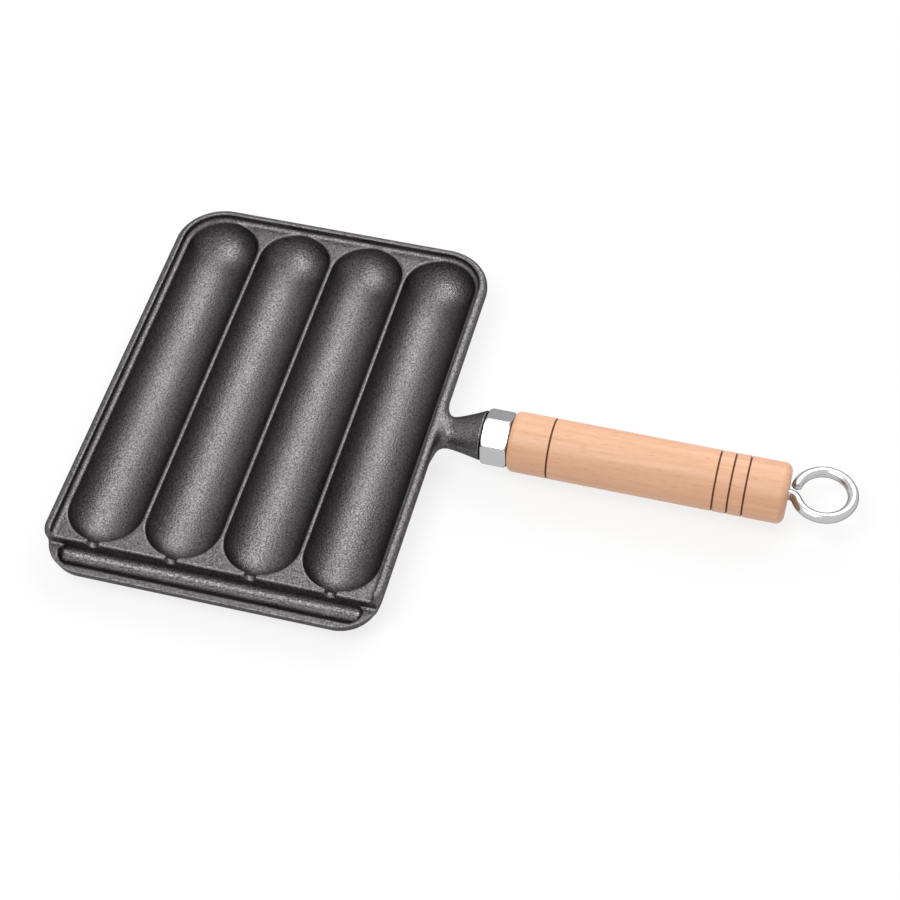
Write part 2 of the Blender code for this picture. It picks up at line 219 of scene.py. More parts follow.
# Cast iron: linear colours, and the spans of noise over which they change
IRON_DARK = (0.0535, 0.051, 0.052)
IRON_LIGHT = (0.195, 0.187, 0.188)
IRON_MOTTLE = (0.108, 0.1025, 0.104)
IRON_EDGE_TINT = (0.42, 0.42, 0.42)
IRON_GRAIN_SPAN = (0.36, 0.64)
IRON_MOTTLE_SPAN = (0.35, 0.7)
IRON_MOTTLE_SHARE = 0.35
IRON_GLOSS_SPAN = (0.3, 0.7)
IRON_ROUGHNESS = (0.27, 0.34)

# Beech: colours and spans as above, and stretches along the grip's length
BEECH_LIGHT = (0.765, 0.443, 0.280)
BEECH_DARK = (0.65, 0.34, 0.193)
BEECH_FLECK = (0.46, 0.22, 0.12)
# Darker brown laid on the wood in and just beside each groove, fading off to either side
BEECH_GROOVE_DARK = (0.15, 0.055, 0.026)
BEECH_BAND_STRETCH = (0.05, 1.0, 1.0)
BEECH_FLECK_STRETCH = (0.14, 1.0, 1.0)
BEECH_BAND_SPAN = (0.3, 0.72)
BEECH_FLECK_SPAN = (0.56, 0.75)
BEECH_FLECK_SHARE = 0.45
BEECH_GROOVE_DARK_SPAN = (GROOVE_WIDTH * 0.35, GROOVE_WIDTH * 0.75)
BEECH_GROOVE_DARK_SHARE = 0.95
BEECH_GLOSS_SPAN = (0.3, 0.7)
BEECH_ROUGHNESS = (0.42, 0.55)

# Plating: how much darker its waves are, and how dark it looks at a grazing angle
CHROME_TINT = (0.56, 0.56, 0.57)
STEEL_TINT = (0.55, 0.55, 0.56)
METAL_WAVE_TINT = 0.93
METAL_EDGE_TINT = (0.12, 0.12, 0.125)
METAL_GLOSS_SPAN = (0.3, 0.7)
METAL_ROUGHNESS = 0.12
METAL_ROUGHNESS_RISE = 0.06

# Floor and world; the glow is the share of plain white where the floor is looked at
FLOOR_HALF_SIZE = 6.0
FLOOR_LIT = 0.85
FLOOR_GLOW = 0.8
WORLD_LIGHT = 0.35
WHITE = (1.0, 1.0, 1.0)

# Lamps: name, azimuth and elevation in degrees, side in metres, power in watts
LAMP_DISTANCE = 1.6
LAMPS = (
    ("key_back", 67.0, 48.0, 1.1, 14.5),
    ("overhead", -118.0, 66.0, 0.85, 16.5),
)

# Camera, solved from the photograph's straight lines
IMAGE_SIZE = 900
SENSOR_WIDTH = 36.0
FOCAL_PIXELS = 2234.2
CAMERA_AZIMUTH = math.radians(16.66)
CAMERA_ELEVATION = math.radians(52.28)
CAMERA_ROLL = math.radians(-2.22)
CAMERA_DISTANCE = 0.9834
AIM_FROM_PAN = Vector((0.08275, 0.06692, 0.0))


def make_camera():
    """Place the camera at the photograph's view."""
    ca, sa = math.cos(CAMERA_AZIMUTH), math.sin(CAMERA_AZIMUTH)
    ce, se = math.cos(CAMERA_ELEVATION), math.sin(CAMERA_ELEVATION)
    forward = Vector((-sa * ce, ca * ce, -se))
    level = Vector((ca, sa, 0.0))
    upright = level.cross(forward)
    right = math.cos(CAMERA_ROLL) * level + math.sin(CAMERA_ROLL) * upright
    up = right.cross(forward)
    data = bpy.data.cameras.new("photo_camera")
    data.sensor_width = SENSOR_WIDTH
    data.lens = FOCAL_PIXELS / IMAGE_SIZE * data.sensor_width
    camera = bpy.data.objects.new("photo_camera", data)
    bpy.context.scene.collection.objects.link(camera)
    aim = Vector((PAN_X, NEAR_Y, DECK_Z)) + AIM_FROM_PAN
    place = aim - CAMERA_DISTANCE * forward
    matrix = camera.matrix_world.copy()
    for row in range(3):
        matrix[row][0] = right[row]
        matrix[row][1] = up[row]
        matrix[row][2] = -forward[row]
        matrix[row][3] = place[row]
    camera.matrix_world = matrix
    bpy.context.scene.camera = camera


# Distance functions: negative inside a shape, in metres


def round_join(a, b, radius):
    """Union of two distances with a fillet of that radius between them."""
    u = np.maximum(radius - a, 0.0)
    v = np.maximum(radius - b, 0.0)
    return np.maximum(radius, np.minimum(a, b)) - np.sqrt(u * u + v * v)


def round_common(a, b, radius):
    """What two distances share, with the edge between them rounded."""
    u = np.maximum(a + radius, 0.0)
    v = np.maximum(b + radius, 0.0)
    return np.minimum(-radius, np.maximum(a, b)) + np.sqrt(u * u + v * v)


def round_cut(a, b, radius):
    """Shape a less shape b, with the new edge rounded."""
    return round_common(a, -b, radius)


def plan_rectangle(x, y, half, y0, y1, front_radius, back_radius):
    """Distance in plan to a round-cornered rectangle about the pan's middle line."""
    middle = (y0 + y1) / 2
    radius = np.where(y < middle, front_radius, back_radius)
    qx = np.abs(x - PAN_X) - half + radius
    qy = np.abs(y - middle) - (y1 - y0) / 2 + radius
    outside = np.sqrt(np.maximum(qx, 0.0) ** 2 + np.maximum(qy, 0.0) ** 2)
    return np.minimum(np.maximum(qx, qy), 0.0) + outside - radius


def trough_x(index):
    """Centre line of one trough, counted from the left."""
    return PAN_X + (index - (TROUGH_COUNT - 1) / 2) * TROUGH_PITCH


def trough_distance(x, y, z, index, radius):
    """Distance to a round bar with ball ends, lying along one trough."""
    dx = x - trough_x(index)
    dy = y - np.clip(y, NEAR_Y, FAR_Y)
    return np.sqrt(dx ** 2 + dy * dy + (z - SECTION_Z) ** 2) - radius


def drain_distance(x, y, z, index):
    """The round notch from one trough, through the deck's front edge."""
    across = (x - trough_x(index)) ** 2 + (z - DECK_Z + DRAIN_SINK) ** 2
    drain = np.sqrt(across) - DRAIN_WIDTH / 2
    drain = np.maximum(drain, y - NEAR_Y)
    return np.maximum(drain, DECK_FRONT_Y - GUTTER_WIDTH / 2 - y)


def wall_distance(x, y, z):
    """The outer wall: upright at the rim, leaning in below the deck."""
    lip_side = SIDE_SLOPE * (SHELF_DROP + LIP_ROUND)
    lean = SIDE_SLOPE * np.maximum(DECK_Z - z, 0.0)
    outline = plan_rectangle(
        x,
        y,
        HALF_WIDTH,
        FRONT_Y - lip_side,
        BACK_Y,
        FRONT_CORNER,
        BACK_CORNER,
    )
    return outline + lean


def upper_distance(x, y, z):
    """The deck with the rim on three sides, ending upright at the front."""
    inner = plan_rectangle(
        x,
        y,
        HALF_WIDTH - RIM_THICKNESS,
        FRONT_Y - BACK_CORNER,
        BACK_Y - RIM_THICKNESS,
        RIM_THICKNESS,
        BACK_CORNER - RIM_THICKNESS,
    )
    rim = round_cut(z - RIM_Z, inner, RIM_INNER_EDGE)
    rim = np.maximum(rim, round_common(z - RIM_Z, DECK_FRONT_Y - y, RIM_HEIGHT))
    top = round_join(z - DECK_Z, rim, RIM_FOOT)
    body = round_common(top, wall_distance(x, y, z), RIM_EDGE)
    return round_common(body, DECK_FRONT_Y - y, DECK_EDGE)


def gutter_distance(x, y, z, grow, fillet):
    """The gutter, grown by a length: leaning lip side and ends, upright deck side.

    The floor falls towards the lip, and the step up to the deck has a wide foot.
    """
    depth = SHELF_Z - z
    lean = math.atan2(GUTTER_WIDTH - GUTTER_FLOOR_WIDTH, GUTTER_DEPTH)
    past_lip = DECK_FRONT_Y - GUTTER_WIDTH - y + depth * math.tan(lean)
    lip = past_lip * math.cos(lean) - grow
    end_lean = math.atan2(GUTTER_END_LEAN, GUTTER_DEPTH)
    half = HALF_WIDTH - GUTTER_END
    past_end = np.abs(x - PAN_X) - half + depth * math.tan(end_lean)
    end = past_end * math.cos(end_lean) - grow
    fall = GUTTER_FALL * (DECK_FRONT_Y - GUTTER_FLOOR_WIDTH / 2 - y)
    floor = (depth - GUTTER_DEPTH - fall) / math.hypot(1, GUTTER_FALL) - grow
    deck = y - DECK_FRONT_Y - grow
    corner = GUTTER_LIP_CORNER - np.clip(depth, 0.0, GUTTER_DEPTH) * math.tan(lean)
    walls = round_common(lip, end, corner + grow)
    hollow = round_common(walls, floor, fillet)
    return round_common(hollow, deck, GUTTER_STEP_FILLET + grow)


def gutter_shell_distance(x, y, z):
    """The iron under and round the gutter, held inside the outer wall."""
    shell = gutter_distance(x, y, z, GUTTER_WALL, GUTTER_FILLET + GUTTER_WALL)
    shell = np.maximum(shell, z - SHELF_Z + GUTTER_FILLET)
    shell = np.maximum(shell, -gutter_distance(x, y, z, 0.0, GUTTER_FILLET))
    return np.maximum(shell, wall_distance(x, y, z))


def shelf_distance(x, y, z):
    """The low front shelf, with the gutter sunk in it."""
    shelf = round_common(z - SHELF_Z, wall_distance(x, y, z), LIP_ROUND)
    return round_cut(shelf, gutter_distance(x, y, z, 0.0, GUTTER_FILLET), GUTTER_EDGE)


def underside_distance(x, y, z):
    """The hollow under the deck, between the outer walls."""
    foot = SKIRT_WALL + SIDE_SLOPE * SKIRT_DROP
    walls = plan_rectangle(
        x,
        y,
        HALF_WIDTH - foot,
        DECK_FRONT_Y + SKIRT_WALL,
        BACK_Y - foot,
        SKIRT_WALL,
        BACK_CORNER - foot,
    )
    walls = walls + SKIRT_DRAFT * (z - SKIRT_Z) / (UNDER_Z - SKIRT_Z)
    return round_common(walls, z - UNDER_Z, SKIRT_WALL / 2)


def tray_distance(x, y, z):
    """The flat body: deck and rim above, gutter shelf in front, hollow below."""
    past_gutter = np.abs(x - PAN_X) - HALF_WIDTH + GUTTER_END
    foot = np.clip(past_gutter, 0.0, SHELF_FOOT)
    body = round_join(shelf_distance(x, y, z), upper_distance(x, y, z), foot)
    body = round_common(body, SKIRT_Z - z, SKIRT_EDGE)
    return round_cut(body, underside_distance(x, y, z), SKIRT_EDGE)


def belly_distance(x, y, z):
    """The troughs' round undersides, flat where the pan stands on them."""
    radius = SECTION_RADIUS + WALL
    belly = trough_distance(x, y, z, 0, radius)
    for index in range(1, TROUGH_COUNT):
        belly = round_join(belly, trough_distance(x, y, z, index, radius), WALL)
    belly = round_common(belly, -z, CLEARANCE)
    belly = np.maximum(belly, z - DECK_Z + DECK_THICKNESS / 2)
    return np.maximum(belly, DECK_FRONT_Y + SKIRT_WALL / 2 - y)


def neck_distance(x, y, z):
    """The neck's oval section: wide at the root, low at the waist, a round collar."""
    waist_x = SIDE_X - SIDE_SLOPE * NECK_DROP + NECK_ROOT_FILLET
    to_root = np.clip(waist_x - x, 0.0, NECK_ROOT_FILLET)
    spread = NECK_ROOT_FILLET - np.sqrt(NECK_ROOT_FILLET ** 2 - to_root ** 2)
    part = np.clip((x - waist_x) / (COLLAR_X - waist_x), 0.0, 1.0)
    ease = part ** NECK_FLARE
    wide = NECK_WAIST_WIDTH / 2 + (NECK_COLLAR - NECK_WAIST_WIDTH) / 2 * ease + spread
    high = NECK_WAIST_HEIGHT / 2 + (NECK_COLLAR - NECK_WAIST_HEIGHT) / 2 * ease
    dy = y - HANDLE_Y
    dz = z - HANDLE_Z + NECK_DROP * (1 - ease)
    oval = (np.sqrt((dy / wide) ** 2 + (dz / high) ** 2) - 1) * np.minimum(wide, high)
    root_x = SIDE_X - RIM_THICKNESS / 2 - SIDE_SLOPE * np.maximum(DECK_Z - z, 0.0)
    return round_common(np.maximum(oval, root_x - x), x - COLLAR_X, COLLAR_EDGE)


def casting_distance(x, y, z):
    """The whole casting."""
    body = tray_distance(x, y, z)
    body = round_join(body, belly_distance(x, y, z), TROUGH_EDGE)
    body = np.minimum(body, gutter_shell_distance(x, y, z))
    body = round_join(body, neck_distance(x, y, z), NECK_JOIN)
    for index in range(TROUGH_COUNT):
        trough = trough_distance(x, y, z, index, SECTION_RADIUS)
        body = round_cut(body, trough, TROUGH_EDGE)
    for index in range(TROUGH_COUNT):
        body = round_cut(body, drain_distance(x, y, z, index), DRAIN_EDGE)
    from_axis = np.sqrt((y - HANDLE_Y) ** 2 + (z - HANDLE_Z) ** 2)
    spigot = np.maximum(from_axis - SPIGOT_RADIUS, x - COLLAR_X - SPIGOT_LENGTH)
    spigot = np.maximum(spigot, COLLAR_X - SPIGOT_ROOT - x)
    body = np.minimum(body, spigot)
    bore_end = COLLAR_X - CAD_NECK_LENGTH
    bore = np.maximum(from_axis - ROD_RADIUS - CLEARANCE, bore_end - x)
    return np.maximum(body, -bore)


def ferrule_distance(x, y, z):
    """A hexagonal sleeve with its corners eased and its ends chamfered like a nut's."""
    dy, dz = y - HANDLE_Y, z - HANDLE_Z
    flats = (FERRULE_HIGH.y - FERRULE_LOW.y) / 2
    corner = flats / math.cos(math.pi / 6)
    body = np.abs(dy) - flats
    for angle in HEXAGON_SIDE_ANGLES:
        side = np.abs(dy * math.cos(angle) + dz * math.sin(angle)) - flats
        body = round_common(body, side, FERRULE_EASE)
    middle = (FERRULE_LOW.x + FERRULE_HIGH.x) / 2
    half = (FERRULE_HIGH.x - FERRULE_LOW.x) / 2
    ends = np.abs(x - middle) - half
    from_axis = np.sqrt(dy * dy + dz * dz)
    cone = ends + (from_axis - corner) * FERRULE_CONE + FERRULE_CHAMFER
    chamfer = cone / math.hypot(1, FERRULE_CONE)
    body = round_common(body, ends, FERRULE_EASE)
    body = round_common(body, chamfer, FERRULE_EASE)
    return np.maximum(body, SPIGOT_RADIUS + CLEARANCE - from_axis)


# Surfaces of the casting and the ferrule, as meshes of four-sided faces


def grid_line(stops):
    """Grid places from a list of (end, spacing) stretches, the first one the start."""
    line = [np.array([stops[0][0]])]
    for (start, _), (end, spacing) in zip(stops, stops[1:]):
        count = max(1, math.ceil((end - start) / spacing))
        line.append(start + (end - start) * np.arange(1, count + 1) / count)
    return np.concatenate(line)


def casting_grid():
    """Grid places along X, Y and Z, close together where edges run."""
    xs = [(LEFT_X - WIDE, 0.0), (LEFT_X + TROUGH_EDGE + SIDE_ZONE, FINE)]
    for index in range(TROUGH_COUNT - 1):
        ridge = trough_x(index) + TROUGH_PITCH / 2
        xs += [(ridge - RIDGE_ZONE, WIDE), (ridge + RIDGE_ZONE, FINE)]
    xs += [
        (SIDE_X - SIDE_ZONE, WIDE),
        (SIDE_X + WIDE, FINE),
        (COLLAR_X - WIDE, EVEN),
        (COLLAR_X + WIDE, FINE),
        (COLLAR_X + SPIGOT_LENGTH + WIDE, WIDE),
    ]
    ys = [
        (FRONT_Y - WIDE, 0.0),
        (DECK_FRONT_Y + FRONT_ZONE, FINE),
        (NEAR_Y + EVEN, EVEN),
        (HANDLE_Y - NECK_ZONE, COARSE),
        (HANDLE_Y + NECK_ZONE, NECK_SPACING),
        (FAR_Y - EVEN, COARSE),
        (BACK_Y - BACK_ZONE, EVEN),
        (BACK_Y + WIDE, FINE),
    ]
    zs = [
        (-WIDE, 0.0),
        (WIDE, FINE),
        (SKIRT_Z - WIDE, EVEN),
        (SHELF_Z - GUTTER_DEPTH + GUTTER_FILLET, FINE),
        (SHELF_Z - LIP_ROUND - FINE, EVEN),
        (SHELF_Z + SHELF_FOOT + FINE, FINE),
        (DECK_Z - DECK_EDGE - FINE, EVEN),
        (RIM_Z + FINE, FINE),
        (HANDLE_Z + NECK_COLLAR / 2 + WIDE, WIDE),
    ]
    return grid_line(xs), grid_line(ys), grid_line(zs)


def ferrule_grid():
    """Even grid places round the ferrule's CAD box."""
    space = FERRULE_SPACING
    return [
        grid_line([(low - space, 0.0), (high + space, space)])
        for low, high in zip(FERRULE_LOW, FERRULE_HIGH)
    ]


def surface_mesh(name, distance, axes):
    """Mesh the zero surface of a distance function on a grid of uneven spacing."""
    xs, ys, zs = axes
    values = distance(xs[:, None, None], ys[None, :, None], zs[None, None, :])
    cells = tuple(n - 1 for n in values.shape)
    total = np.zeros(cells + (3,))
    hits = np.zeros(cells, int)
    crossings = []
    for axis in range(3):
        # Where the surface crosses the grid's edges along this axis
        a = np.take(values, range(values.shape[axis] - 1), axis)
        b = np.take(values, range(1, values.shape[axis]), axis)
        at = np.argwhere((a < 0) != (b < 0))
        low, high = a[tuple(at.T)], b[tuple(at.T)]
        share = low / (low - high)
        place = np.stack([axes[k][at[:, k]] for k in range(3)], 1)
        step = axes[axis][at[:, axis] + 1] - axes[axis][at[:, axis]]
        place[:, axis] += share * step
        # Each crossing counts towards the points of the four cells round its edge
        others = [k for k in range(3) if k != axis]
        keep = np.all([(at[:, k] > 0) & (at[:, k] < cells[k]) for k in others], 0)
        corners = []
        for du, dv in ((-1, -1), (0, -1), (0, 0), (-1, 0)):
            cell = at.copy()
            cell[:, others[0]] += du
            cell[:, others[1]] += dv
            corners.append(cell)
            fits = [(cell[:, k] >= 0) & (cell[:, k] < cells[k]) for k in range(3)]
            real = np.all(fits, 0)
            index = tuple(cell[real].T)
            np.add.at(total, index, place[real])
            np.add.at(hits, index, 1)
        crossings.append((axis, keep, corners, low < 0))
    used = hits > 0
    number = np.full(cells, -1)
    number[used] = np.arange(used.sum())
    points = total[used] / hits[used][:, None]
    for _ in range(SURFACE_PASSES):
        points = to_surface(points, distance)
    # One face round each crossed edge, turned to look outwards
    faces = []
    for axis, keep, corners, starts_inside in crossings:
        quad = np.stack([number[tuple(c[keep].T)] for c in corners], 1)
        outward = starts_inside[keep] == (axis != 1)
        quad[~outward] = quad[~outward][:, ::-1]
        faces.append(quad)
    mesh = bpy.data.meshes.new(name)
    mesh.from_pydata(points.tolist(), [], np.concatenate(faces).tolist())
    mesh.shade_smooth()
    return mesh


def to_surface(points, distance):
    """Move points along the slope of a distance function to where it is zero."""
    slope = []
    for k in range(3):
        ahead, behind = points.copy(), points.copy()
        ahead[:, k] += SLOPE_STEP
        behind[:, k] -= SLOPE_STEP
        slope.append((distance(*ahead.T) - distance(*behind.T)) / (2 * SLOPE_STEP))
    slope = np.stack(slope, 1)
    length = np.maximum((slope ** 2).sum(1, keepdims=True), LEAST_SLOPE_SQUARED)
    move = -distance(*points.T)[:, None] * slope / length
    size = np.linalg.norm(move, axis=1, keepdims=True)
    return points + move / np.maximum(size / LONGEST_MOVE, 1.0)


# Meshes of the turned grip and the swept rod, built from rings


def ring(x, y, heading, radius, sides):
    """A circle of points at the handle's height, facing a direction in plan."""
    points = []
    for i in range(sides):
        angle = 2 * math.pi * i / sides
        side = radius * math.cos(angle)
        plan = (x - side * math.sin(heading), y + side * math.cos(heading))
        points.append((*plan, HANDLE_Z + radius * math.sin(angle)))
    return points


def ring_mesh(name, rings, capped, sharp_angle):
    """Join rings into a smooth mesh that has capped ends or runs back to its start."""
    bm = bmesh.new()
    rows = [[bm.verts.new(point) for point in points] for points in rings]
    following = rows[1:] if capped else rows[1:] + rows[:1]
    for low, high in zip(rows, following):
        for i in range(len(low)):
            j = (i + 1) % len(low)
            bm.faces.new((low[i], low[j], high[j], high[i]))
    if capped:
        bm.faces.new(rows[0])
        bm.faces.new(rows[-1])
    bmesh.ops.recalc_face_normals(bm, faces=bm.faces)
    mesh = bpy.data.meshes.new(name)
    bm.to_mesh(mesh)
    bm.free()
    mesh.shade_smooth()
    mesh.set_sharp_from_angle(angle=sharp_angle)
    return mesh


def groove_places():
    """Where the grooves lie along X: one by the ferrule and three by the tail."""
    front = FERRULE_HIGH.x + CLEARANCE + FRONT_GROOVE
    last = GRIP_HIGH.x - TAIL_GROOVE
    tail = [last - i * TAIL_GROOVE_PITCH for i in reversed(range(TAIL_GROOVE_COUNT))]
    return [front] + tail


def groove_points(x, radius):
    """Profile of one turned groove: eased shoulders and a round bottom."""
    points = []
    for i in range(-GROOVE_STEPS, GROOVE_STEPS + 1):
        share = i / GROOVE_STEPS
        depth = GROOVE_DEPTH * math.cos(share * math.pi / 2) ** GROOVE_POWER
        points.append((x + share * GROOVE_WIDTH / 2, radius - depth))
    return points


def grip_profile():
    """Closed profile of the grip, as (x, radius) from the tenon round to the bore."""
    radius = (GRIP_HIGH.y - GRIP_LOW.y) / 2
    bore = ROD_RADIUS + CLEARANCE
    front = FERRULE_HIGH.x + CLEARANCE
    tail = GRIP_HIGH.x
    profile = [(GRIP_LOW.x, bore), (GRIP_LOW.x, SPIGOT_RADIUS), (front, SPIGOT_RADIUS)]
    for i in range(CHAMFER_STEPS + 1):
        angle = math.pi / 2 * i / CHAMFER_STEPS
        x = front + GRIP_FRONT_CHAMFER * (1 - math.cos(angle))
        drop = GRIP_FRONT_CHAMFER * (1 - math.sin(angle)) * GRIP_CHAMFER_HEIGHT
        profile.append((x, radius - drop))
    reach = front
    for x in groove_places():
        count = max(2, int((x - reach) / GRIP_STEP))
        for i in range(1, count):
            step = (x - GROOVE_WIDTH / 2 - reach) * i / count
            profile.append((reach + step, radius))
        profile += groove_points(x, radius)
        reach = x + GROOVE_WIDTH / 2
    for i in range(TAIL_STEPS + 1):
        angle = math.pi / 2 * i / TAIL_STEPS
        x = tail - GRIP_TAIL_ROUND * (1 - math.sin(angle))
        profile.append((x, radius - GRIP_TAIL_ROUND * (1 - math.cos(angle))))
    return profile + [(tail, bore + GRIP_BORE_MOUTH), (tail - GRIP_BORE_MOUTH, bore)]


def grip_mesh():
    """Turn the grip's profile round the handle's axis."""
    profile = grip_profile()
    rings = [ring(x, HANDLE_Y, 0.0, radius, GRIP_SIDES) for x, radius in profile]
    return ring_mesh("beech_grip", rings, False, GRIP_SHARP_ANGLE)


def rod_path():
    """Centre line of the rod in plan: shank, bend and open eye, with its direction."""
    centre_x = GRIP_HIGH.x + CLEARANCE + ROD_RADIUS + EYE_RADIUS
    centre_y = HANDLE_Y + EYE_OFFSET
    bend_turn = 3 * math.pi / 2 - EYE_JOIN_ANGLE
    join_x = centre_x + EYE_RADIUS * math.cos(EYE_JOIN_ANGLE)
    drop = HANDLE_Y - (centre_y + EYE_RADIUS * math.sin(EYE_JOIN_ANGLE))
    straight = (drop - SHANK_BEND * (1 - math.cos(bend_turn))) / math.sin(bend_turn)
    bend_x = join_x - SHANK_BEND * math.sin(bend_turn) - straight * math.cos(bend_turn)
    path = [
        (ROD_LOW.x + MARGIN, HANDLE_Y, 0.0),
        (GRIP_HIGH.x - SHANK_BEND, HANDLE_Y, 0.0),
    ]
    for i in range(BEND_STEPS + 1):
        angle = bend_turn * i / BEND_STEPS
        x = bend_x + SHANK_BEND * math.sin(angle)
        path.append((x, HANDLE_Y - SHANK_BEND * (1 - math.cos(angle)), -angle))
    sweep = 2 * math.pi + EYE_END_ANGLE - EYE_JOIN_ANGLE
    for i in range(EYE_STEPS + 1):
        angle = EYE_JOIN_ANGLE + sweep * i / EYE_STEPS
        x = centre_x + EYE_RADIUS * math.cos(angle)
        path.append((x, centre_y + EYE_RADIUS * math.sin(angle), angle + math.pi / 2))
    return path


def rod_stations():
    """The rod's places, directions and radii, with both ends eased."""
    path = rod_path()
    (first_x, first_y, first_heading), *others = path
    last_x, last_y, last_heading = path[-1]
    full = ROD_RADIUS - MARGIN
    small = ROD_RADIUS - ROD_END_EASE
    end_x = last_x + math.cos(last_heading) * ROD_END_EASE
    end_y = last_y + math.sin(last_heading) * ROD_END_EASE
    return [
        (first_x, first_y, first_heading, small),
        (first_x + ROD_END_EASE, first_y, first_heading, full),
        *((x, y, heading, full) for x, y, heading in others),
        (end_x, end_y, last_heading, small),
    ]


def rod_mesh():
    """Sweep the rod's round section along its path."""
    rings = [ring(*station, ROD_SIDES) for station in rod_stations()]
    return ring_mesh("steel_eye_rod", rings, True, ROD_SHARP_ANGLE)


# Pieces


def add_piece(name, mesh, node, material):
    """Link a finished mesh in place of a CAD node."""
    piece = bpy.data.objects.new(name, mesh)
    bpy.context.scene.collection.objects.link(piece)
    mesh.materials.clear()
    mesh.materials.append(material)
    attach(piece, "root")
    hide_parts(node)


# Materials


class Graph:
    """Short calls for building one material's nodes."""

    def __init__(self, name):
        self.material = bpy.data.materials.new(name)
        self.material.use_nodes = True
        self.tree = self.material.node_tree
        self.shader = self.tree.nodes["Principled BSDF"]
        self.place = self.add("ShaderNodeTexCoord").outputs["Object"]

    def add(self, kind, settings=None, inputs=None):
        """Add a node, set its properties, and link or set its inputs."""
        node = self.tree.nodes.new(kind)
        for key, value in (settings or {}).items():
            setattr(node, key, value)
        self.feed(node, inputs or {})
        return node

    def feed(self, node, inputs):
        """Link an output to each named input of a node, or set the input's value."""
        for key, value in inputs.items():
            if isinstance(value, bpy.types.NodeSocket):
                self.tree.links.new(value, node.inputs[key])
            else:
                node.inputs[key].default_value = value

    def stretch(self, scale):
        """Coordinates multiplied along each axis."""
        inputs = {"Vector": self.place, "Scale": scale}
        return self.add("ShaderNodeMapping", inputs=inputs).outputs["Vector"]

    def noise(self, place, settings):
        """Noise between 0 and 1, by its scale, detail, roughness and distortion."""
        names = ("Scale", "Detail", "Roughness", "Distortion")
        inputs = {"Vector": place, **dict(zip(names, settings))}
        return self.add("ShaderNodeTexNoise", inputs=inputs).outputs["Fac"]

    def math(self, operation, a, b=0.0):
        """One step of arithmetic."""
        node = self.add("ShaderNodeMath", {"operation": operation}, {0: a, 1: b})
        return node.outputs[0]

    def ramp(self, value, span, low=0.0, high=1.0):
        """Map a value's span to the range from low to high, clamped."""
        inputs = {
            "Value": value,
            "From Min": span[0],
            "From Max": span[1],
            "To Min": low,
            "To Max": high,
        }
        return self.add("ShaderNodeMapRange", inputs=inputs).outputs["Result"]

    def mix(self, share, a, b):
        """Blend two colours."""
        inputs = {"Factor": share, "A": a, "B": b}
        node = self.add("ShaderNodeMix", {"data_type": "RGBA"}, inputs)
        return node.outputs["Result"]

    def bump(self, height, settings):
        """A bump from heights between 0 and 1, by its strength and size in metres."""
        strength, distance = settings
        inputs = {"Height": height, "Strength": strength, "Distance": distance}
        return self.add("ShaderNodeBump", inputs=inputs).outputs["Normal"]


def colour(rgb):
    """A linear colour with full alpha."""
    return (*rgb, 1.0)


def cast_iron():
    """Black seasoned sand casting: fine grain, faint mottling."""
    graph = Graph("cast_iron")
    grain = graph.noise(graph.place, IRON_GRAIN)
    cloud = graph.noise(graph.place, IRON_CLOUD)
    light = graph.ramp(grain, IRON_GRAIN_SPAN)
    base = graph.mix(light, colour(IRON_DARK), colour(IRON_LIGHT))
    mottle = graph.ramp(cloud, IRON_MOTTLE_SPAN, high=IRON_MOTTLE_SHARE)
    inputs = {
        "Base Color": graph.mix(mottle, base, colour(IRON_MOTTLE)),
        "Metallic": 1.0,
        "Specular Tint": colour(IRON_EDGE_TINT),
        "Roughness": graph.ramp(cloud, IRON_GLOSS_SPAN, *IRON_ROUGHNESS),
        "Normal": graph.bump(grain, IRON_BUMP),
    }
    graph.feed(graph.shader, inputs)
    return graph.material


def beech():
    """Turned beech: lengthwise grain, short flecks, darker brown in and beside the
    grooves.
    """
    graph = Graph("beech")
    bands = graph.noise(graph.stretch(BEECH_BAND_STRETCH), BEECH_BANDS)
    flecks = graph.noise(graph.stretch(BEECH_FLECK_STRETCH), BEECH_FLECKS)
    dark = graph.ramp(bands, BEECH_BAND_SPAN)
    base = graph.mix(dark, colour(BEECH_LIGHT), colour(BEECH_DARK))
    fleck = graph.ramp(flecks, BEECH_FLECK_SPAN, high=BEECH_FLECK_SHARE)
    base = graph.mix(fleck, base, colour(BEECH_FLECK))
    along = graph.add("ShaderNodeSeparateXYZ", inputs={"Vector": graph.place})
    # Darken the colour close to each groove's middle line, fading to none a little past
    # its edges
    groove_dark = 0.0
    for x in groove_places():
        away = graph.math("ABSOLUTE", graph.math("SUBTRACT", along.outputs["X"], x))
        near = graph.ramp(away, BEECH_GROOVE_DARK_SPAN, 1.0, 0.0)
        groove_dark = graph.math("MAXIMUM", groove_dark, near)
    groove_dark = graph.math("MULTIPLY", groove_dark, BEECH_GROOVE_DARK_SHARE)
    inputs = {
        "Base Color": graph.mix(groove_dark, base, colour(BEECH_GROOVE_DARK)),
        "Roughness": graph.ramp(bands, BEECH_GLOSS_SPAN, *BEECH_ROUGHNESS),
        "Normal": graph.bump(flecks, BEECH_BUMP),
    }
    graph.feed(graph.shader, inputs)
    return graph.material


def bright_metal(name, tint):
    """Plated metal with faint waviness."""
    graph = Graph(name)
    wave = graph.noise(graph.place, METAL_WAVE)
    wave_tint = [part * METAL_WAVE_TINT for part in tint]
    rough = (METAL_ROUGHNESS, METAL_ROUGHNESS + METAL_ROUGHNESS_RISE)
    inputs = {
        "Metallic": 1.0,
        "Specular Tint": colour(METAL_EDGE_TINT),
        "Base Color": graph.mix(wave, colour(tint), colour(wave_tint)),
        "Roughness": graph.ramp(wave, METAL_GLOSS_SPAN, *rough),
        "Normal": graph.bump(wave, METAL_BUMP),
    }
    graph.feed(graph.shader, inputs)
    return graph.material


# Stage


